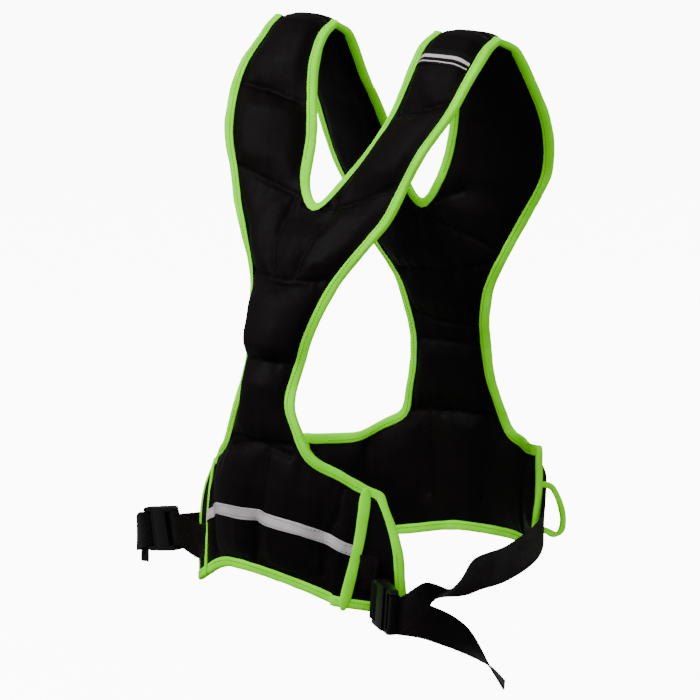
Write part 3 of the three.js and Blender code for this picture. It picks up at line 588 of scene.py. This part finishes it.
def add_stitch(edit, centre, along, side, up):
    rings = []
    for place, share in STITCH_SECTIONS:
        middle = centre + along * (place * STITCH_LENGTH)
        turns = [math.pi * 2 * i / STITCH_SIDES for i in range(STITCH_SIDES)]
        rings.append([
            edit.verts.new(middle + (side * math.cos(t) + up * math.sin(t)) * STITCH_RADIUS * share)
            for t in turns
        ])
    for first, second in zip(rings[:-1], rings[1:]):
        for i in range(STITCH_SIDES):
            j = (i + 1) % STITCH_SIDES
            edit.faces.new((first[i], second[i], second[j], first[j]))
    edit.faces.new(rings[0])
    edit.faces.new(rings[-1][::-1])


def stitch_rows(rows, name, material):
    """rows: lists of (point, outward normal) along the cloth; one short bar of thread per pitch."""
    edit = bmesh.new()
    for row in rows:
        left_over = 0.0
        for (a, n), (b, _) in zip(row[:-1], row[1:]):
            run = b - a
            length = run.length
            if length < TOO_SHORT:
                continue
            along = run / length
            side = n.cross(along).normalized()
            up = along.cross(side)
            at = left_over
            while at < length:
                add_stitch(edit, a + along * at + n * STITCH_LIFT, along, side, up)
                at += STITCH_PITCH
            left_over = at - length
    bmesh.ops.recalc_face_normals(edit, faces=edit.faces)
    mesh = bpy.data.meshes.new(name)
    edit.to_mesh(mesh)
    edit.free()
    piece = bpy.data.objects.new(name, mesh)
    bpy.context.scene.collection.objects.link(piece)
    finish_piece(piece, name, [], material)
    print(name, len(mesh.polygons) // STITCH_FACES, "stitches")
    return piece


print("a stitch every", STITCH_PITCH * 1000, "mm")

# %% [markdown]
# The rows on a tape follow its own inner edges. Those are the long sharp corners of its solid
# beside a face as narrow as the tape is thick. An edge counts when the wide face beside it looks
# out into the open, since the other side of the tape lies on the cloth.

# %% Inner edges of a tape
TAPE_WALL = 0.0011
NARROW_FACE = TAPE_WALL * 1.5
LONG_EDGE = TAPE_WALL * 1.6
FLAP_WIDTH = 0.006
SAME_WAY = 0.5
OPEN_START = 0.0015
OPEN_REACH = 0.006
SET_BACK = 0.0022


def is_narrow(face):
    shorts = sorted(e.calc_length() for e in face.edges)
    return len(face.verts) == 4 and shorts[1] < NARROW_FACE


def inner_edges(edit):
    """Each inner edge of a tape, with the way across its outer face and that face's normal."""
    tree = BVHTree.FromBMesh(edit)
    lips = {}
    for edge in edit.edges:
        faces = edge.link_faces
        if len(faces) != 2 or edge.calc_length() < LONG_EDGE:
            continue
        thin = [is_narrow(f) for f in faces]
        if thin[0] == thin[1]:
            continue
        lip, wide = (faces[0], faces[1]) if thin[0] else (faces[1], faces[0])
        if wide.normal.dot(lip.normal) > SAME_WAY:
            continue
        if wide.calc_area() / edge.calc_length() < FLAP_WIDTH:
            continue
        outward = wide.calc_center_median() + wide.normal * OPEN_START
        if tree.ray_cast(outward, wide.normal, OPEN_REACH)[0] is not None:
            continue
        back = wide.calc_center_median() - (edge.verts[0].co + edge.verts[1].co) / 2
        back -= back.project(edge.verts[1].co - edge.verts[0].co)
        lips[edge] = (back.normalized(), wide.normal.copy())
    return lips


print("rows lie", SET_BACK * 1000, "mm from the inner edge")

# %% [markdown]
# The edges are then walked in chains, and each chain is set back from the corner to where the
# needle went.

# %% Rows along the tapes
FEWEST_EDGES = 4


def walk_chains(edges):
    """Groups the edges into chains that run from end to end."""
    left = set(edges)
    for start in edges:
        if start not in left:
            continue
        left.discard(start)
        chain = [start]
        for way in (0, 1):
            tip = start.verts[way]
            while True:
                following = [e for e in tip.link_edges if e in left]
                if not following:
                    break
                left.discard(following[0])
                tip = following[0].other_vert(tip)
                chain.insert(len(chain) if way else 0, following[0])
        yield chain


def tape_rows(node):
    piece = merged_copy(node)
    edit = bmesh.new()
    edit.from_mesh(piece.data)
    join_quads(edit)
    lips = inner_edges(edit)
    rows = []
    for chain in walk_chains(lips):
        if len(chain) < FEWEST_EDGES:
            continue
        row = []
        for a, b in zip(chain[:-1], chain[1:]):
            for corner in set(a.verts) & set(b.verts):
                back = (lips[a][0] + lips[b][0]).normalized()
                row.append(corner.co + back * SET_BACK)
        rows.append(row)
    edit.free()
    bpy.data.objects.remove(piece)
    return rows


print("a row of thread needs a chain of", FEWEST_EDGES, "edges or more")


# %% [markdown]
# The solid's corners are far apart, so a smooth curve through them gives close points, and each
# is dropped on the tape's finished skin.

# %% Sew the tapes and the seams
FINE_STEP = 0.003
SKIN_REACH = 0.004
FEWEST_TAPE_POINTS = 9
FEWEST_SEAM_POINTS = 4


def refine(points, skin):
    """Close points on a smooth curve through the given ones, each with the skin's normal there."""
    fine = []
    for i in range(len(points) - 1):
        p0, p1, p2 = points[max(i - 1, 0)], points[i], points[i + 1]
        p3 = points[min(i + 2, len(points) - 1)]
        steps = max(2, int((p2 - p1).length / FINE_STEP))
        for k in range(steps):
            t = k / steps
            bend = (2 * p0 - 5 * p1 + 4 * p2 - p3) * t * t + (3 * p1 - p0 - 3 * p2 + p3) * t ** 3
            middle = 0.5 * (2 * p1 + (p2 - p0) * t + bend)
            place, normal, _, distance = skin.find_nearest(middle)
            if place is not None and distance < SKIN_REACH:
                fine.append((place, normal))
    return fine


tape_thread = woven(
    "lime thread", (0.07, 0.34, 0.002),
    roughness=0.7, threads=9000.0, bump=0.2, tone=(0.9, 1.1), tone_scale=60.0,
)
sewn = []
for node, name in TAPES.items():
    if "pocket" not in node:
        skin = skin_of(bpy.data.objects[name])
        sewn += [refine(row, skin) for row in tape_rows(node)]
sewn = [row for row in sewn if len(row) >= FEWEST_TAPE_POINTS]
stitch_rows(sewn, "tape_stitches", tape_thread)
seam_thread = woven(
    "black thread", (0.0045, 0.0038, 0.0038),
    roughness=0.6, threads=9000.0, bump=0.2, tone=(0.9, 1.1), tone_scale=60.0, gloss=0.05,
)
quilting = [row for row in quilting if len(row) >= FEWEST_SEAM_POINTS]
stitch_rows(quilting, "quilting_stitches", seam_thread)

# %% [markdown]
# ## The reflective tape and the woven label
#
# Both lie on the cloth and are sewn along their edges. An attribute that runs from 0 at the lower
# edge to 1 at the upper edge tells the material where the stitches and the woven lines go. A
# curve is fitted along the middle, then one to what lies on either side of it.

# %% Across attribute
UPRIGHT, OVER_CREST = 2, 1
CURVE_DEGREE = 4


def add_across(piece, axis):
    """axis: UPRIGHT for a patch on the belt, which climbs in z, or OVER_CREST if it climbs in y."""
    points = read_points(piece.data)
    x, climb = points[:, 0], points[:, axis]
    middle = np.polyfit(x, climb, CURVE_DEGREE)
    high = climb > np.polyval(middle, x)
    top = np.polyfit(x[high], climb[high], CURVE_DEGREE)
    low = np.polyfit(x[~high], climb[~high], CURVE_DEGREE)
    across = (climb - np.polyval(low, x)) / (np.polyval(top, x) - np.polyval(low, x))
    layer = piece.data.attributes.new("across", "FLOAT", "POINT")
    layer.data.foreach_set("value", np.clip(across, 0, 1).astype(np.float32))


def attribute(tree, name):
    node = tree.nodes.new("ShaderNodeAttribute")
    node.attribute_name = name
    return node.outputs["Fac"]


def line_mask(tree, value, centre, width):
    off = math_node(tree, "ABSOLUTE", math_node(tree, "SUBTRACT", value, centre))
    return math_node(tree, "LESS_THAN", off, width)


def mix_colors(tree, mask, first, second):
    node = tree.nodes.new("ShaderNodeMix")
    node.data_type = "RGBA"
    tree.links.new(mask, node.inputs["Factor"])
    node.inputs["A"].default_value = (*first, 1)
    node.inputs["B"].default_value = (*second, 1)
    return node.outputs["Result"]


print("patches are measured across, from 0 to 1")

# %% [markdown]
# The skin of a panel has moved since its solid was packed, so each face of a patch is set off
# that skin again. A point whose normal looks out belongs to the outer face, one that looks in to
# the inner face.

# %% Lay a patch on the cloth
PATCH_GAP = 0.0004
STRIP_THICKNESS = 0.0009
LABEL_THICKNESS = 0.001
FACE_TURN = 1.6


def lay_on(piece, cloth, gap, thickness):
    """Sets both faces of a patch off the panel's skin, by its gap and its own thickness."""
    skin = skin_of(cloth)
    points = read_points(piece.data)
    normals = read_normals(piece.data)
    for i, (p, n) in enumerate(zip(points, normals)):
        place, out, _, _ = skin.find_nearest(Vector(p))
        share = 0.5 + 0.5 * max(-1.0, min(1.0, Vector(n).dot(out) * FACE_TURN))
        points[i] = place + out * (gap + thickness * share)
    write_points(piece.data, points)


print("patches lie", PATCH_GAP * 1000, "mm off the cloth")


# %% [markdown]
# The reflective tape is silver film with beads too small to see one by one: a fine grain, slow
# creases, and a row of dashes for the thread near each edge.

# %% Reflective tape material
SILVER = (0.45, 0.41, 0.43)
SILVER_THREAD = (0.18, 0.16, 0.17)
DASHES = 2400.0
DASH_START = -0.2
THREAD_ROWS = (0.1, 0.9)
ROW_WIDTH = 0.03
BEADS = 1300
CREASES = 40


def make_reflective():
    material = bpy.data.materials.new("silver reflective tape")
    material.use_nodes = True
    tree = material.node_tree
    shader = tree.nodes["Principled BSDF"]
    across = attribute(tree, "across")
    place = tree.nodes.new("ShaderNodeTexCoord")
    split = tree.nodes.new("ShaderNodeSeparateXYZ")
    tree.links.new(place.outputs["Object"], split.inputs[0])
    dash = math_node(tree, "SINE", math_node(tree, "MULTIPLY", split.outputs["X"], DASHES))
    stitched = math_node(tree, "GREATER_THAN", dash, DASH_START)
    lower, upper = (line_mask(tree, across, middle, ROW_WIDTH) for middle in THREAD_ROWS)
    rows = math_node(tree, "ADD", lower, upper)
    thread = math_node(tree, "MULTIPLY", rows, stitched)
    cloud = place_group(tree, TONE, Scale=26.0, Low=0.62, High=1.12)
    paint = tree.nodes.new("ShaderNodeVectorMath")
    paint.operation = "SCALE"
    tree.links.new(mix_colors(tree, thread, SILVER, SILVER_THREAD), paint.inputs[0])
    tree.links.new(cloud.outputs[0], paint.inputs["Scale"])
    tree.links.new(paint.outputs[0], shader.inputs["Base Color"])
    grain = tree.nodes.new("ShaderNodeTexVoronoi")
    grain.inputs["Scale"].default_value = BEADS
    tree.links.new(place.outputs["Object"], grain.inputs["Vector"])
    crease = tree.nodes.new("ShaderNodeTexNoise")
    crease.inputs["Scale"].default_value = CREASES
    crease.inputs["Detail"].default_value = 4
    tree.links.new(place.outputs["Object"], crease.inputs["Vector"])
    rough = math_node(tree, "ADD", math_node(tree, "MULTIPLY", crease.outputs["Fac"], 0.25), 0.35)
    tree.links.new(rough, shader.inputs["Roughness"])
    beads = math_node(tree, "MULTIPLY", grain.outputs["Distance"], 0.2)
    height = math_node(tree, "ADD", beads, math_node(tree, "MULTIPLY", crease.outputs["Fac"], 1.5))
    height = math_node(tree, "SUBTRACT", height, rows)
    relief = tree.nodes.new("ShaderNodeBump")
    relief.inputs["Strength"].default_value = 0.4
    relief.inputs["Distance"].default_value = 0.0006
    tree.links.new(height, relief.inputs["Height"])
    tree.links.new(relief.outputs[0], shader.inputs["Normal"])
    shader.inputs["Metallic"].default_value = 0.15
    return material


silver_look = make_reflective()
strip = smooth_sweep(
    "reflective_strip", "reflective_tape", "reflective", silver_look, crease=PATCH_CREASE
)
add_across(strip, UPRIGHT)
lay_on(strip, front, PATCH_GAP, STRIP_THICKNESS)


# %% [markdown]
# The label is woven black with two plain light lines, the wide one along its middle.

# %% Label material
LABEL_GROUND = (0.003, 0.0027, 0.0028)
LABEL_LINE = (0.42, 0.4, 0.4)


def make_label():
    material = bpy.data.materials.new("woven label")
    material.use_nodes = True
    tree = material.node_tree
    shader = tree.nodes["Principled BSDF"]
    across = attribute(tree, "across")
    wide_line = line_mask(tree, across, 0.5, 0.14)
    line = math_node(tree, "MAXIMUM", wide_line, line_mask(tree, across, 0.08, 0.02))
    tree.links.new(mix_colors(tree, line, LABEL_GROUND, LABEL_LINE), shader.inputs["Base Color"])
    shader.inputs["Specular IOR Level"].default_value = 0.05
    weave = place_group(tree, WEAVE, Threads=5200.0)
    relief = tree.nodes.new("ShaderNodeBump")
    relief.inputs["Strength"].default_value = 0.4
    relief.inputs["Distance"].default_value = 0.0003
    tree.links.new(weave.outputs[0], relief.inputs["Height"])
    tree.links.new(relief.outputs[0], shader.inputs["Normal"])
    shader.inputs["Roughness"].default_value = 0.6
    return material


label = smooth_sweep("label_patch", "woven_label", "woven_label", make_label(), crease=PATCH_CREASE)
add_across(label, OVER_CREST)
lay_on(label, front, PATCH_GAP, LABEL_THICKNESS)

# %% [markdown]
# ## Buckles
#
# The buckles are moulded plastic, so no edge is sharp: a small bevel catches a line of light
# along each one, and the surface has the fine texture of a mould.

# %% Plastic
PLASTIC_COLOR = (0.0026, 0.0026, 0.0028, 1)
PLASTIC_ROUGHNESS = 0.34
MOULD_GRAIN = 1500


def make_plastic():
    material = bpy.data.materials.new("black moulded plastic")
    material.use_nodes = True
    tree = material.node_tree
    shader = tree.nodes["Principled BSDF"]
    place = tree.nodes.new("ShaderNodeTexCoord")
    grain = tree.nodes.new("ShaderNodeTexNoise")
    grain.inputs["Scale"].default_value = MOULD_GRAIN
    grain.inputs["Detail"].default_value = 3
    tree.links.new(place.outputs["Object"], grain.inputs["Vector"])
    cloud = place_group(tree, TONE, Scale=60.0, Low=0.9, High=1.12)
    rough = math_node(tree, "MULTIPLY", cloud.outputs[0], PLASTIC_ROUGHNESS)
    tree.links.new(rough, shader.inputs["Roughness"])
    relief = tree.nodes.new("ShaderNodeBump")
    relief.inputs["Strength"].default_value = 0.25
    relief.inputs["Distance"].default_value = 0.0001
    tree.links.new(grain.outputs["Fac"], relief.inputs["Height"])
    tree.links.new(relief.outputs[0], shader.inputs["Normal"])
    shader.inputs["Base Color"].default_value = PLASTIC_COLOR
    shader.inputs["Specular IOR Level"].default_value = 0.09
    return material


plastic_look = make_plastic()
print("plastic:", plastic_look.name)


# %% [markdown]
# A buckle's flat faces are joined again before its edges are rounded, so that no line of
# triangles shows.

# %% Buckle pieces
MOULD_RADIUS = 0.0007
FLAT_ANGLE = math.radians(2)
CORNER_ANGLE = math.radians(30)


def moulded(node, name):
    piece = merged_copy(node)
    edit = bmesh.new()
    edit.from_mesh(piece.data)
    bmesh.ops.dissolve_limit(edit, angle_limit=FLAT_ANGLE, verts=edit.verts, edges=edit.edges)
    edit.to_mesh(piece.data)
    edit.free()
    bevel = piece.modifiers.new("moulded edge", "BEVEL")
    bevel.width = MOULD_RADIUS
    bevel.segments = 3
    bevel.limit_method = "ANGLE"
    bevel.angle_limit = CORNER_ANGLE
    bake_modifiers(piece)
    finish_piece(piece, name, [node], plastic_look)
    print(piece.name, len(piece.data.polygons), "faces")
    return piece


for side in ("left", "right"):
    moulded("buckle_socket_" + side, "socket_" + side)
    moulded("buckle_plug_" + side, "plug_" + side)

# %% [markdown]
# ## Floor and light
#
# A plain white floor far enough below that the vest hangs clear. It glows, so that it stays white
# behind black cloth, and it is hidden from bounced light, so that the glow doesn't turn the cloth
# grey.

# %% Floor
FLOOR_HEIGHT = -0.74
FLOOR_HALF = 12
FLOOR_GLOW = 10

edit = bmesh.new()
place = Matrix.Translation((0, 0, FLOOR_HEIGHT))
bmesh.ops.create_grid(edit, x_segments=2, y_segments=2, size=FLOOR_HALF, matrix=place)
floor_mesh = bpy.data.meshes.new("floor")
edit.to_mesh(floor_mesh)
edit.free()
floor = bpy.data.objects.new("floor", floor_mesh)
bpy.context.scene.collection.objects.link(floor)
floor_look = bpy.data.materials.new("pale floor")
floor_look.use_nodes = True
floor_shader = floor_look.node_tree.nodes["Principled BSDF"]
floor_shader.inputs["Base Color"].default_value = (0.9, 0.9, 0.9, 1)
floor_shader.inputs["Roughness"].default_value = 0.9
floor_shader.inputs["Emission Color"].default_value = (1, 1, 1, 1)
floor_shader.inputs["Emission Strength"].default_value = FLOOR_GLOW
floor.data.materials.append(floor_look)
floor.visible_diffuse = False
floor.visible_glossy = False
print("floor at", FLOOR_HEIGHT)

# %% [markdown]
# A big soft light stands at the upper left, a weaker one at the right and a rim light behind. The
# world gives even light from all round.

# %% Light
WORLD_LIGHT = 0.4


def soft_light(name, place, size, power):
    data = bpy.data.lights.new(name, "AREA")
    data.shape = "SQUARE"
    data.size = size
    data.energy = power
    lamp = bpy.data.objects.new(name, data)
    bpy.context.scene.collection.objects.link(lamp)
    lamp.location = place
    lamp.rotation_euler = (Vector(place) - TARGET).to_track_quat("Z", "Y").to_euler()


soft_light("key", (-1.3, -2.4, 1.9), 1.5, 175)
soft_light("fill", (2.6, -1.6, 0.6), 1.8, 45)
soft_light("rim", (0.5, 2.4, 1.4), 1.6, 50)
world = bpy.data.worlds.new("studio")
bpy.context.scene.world = world
world.use_nodes = True
world.node_tree.nodes["Background"].inputs["Color"].default_value = (1, 1, 1, 1)
world.node_tree.nodes["Background"].inputs["Strength"].default_value = WORLD_LIGHT
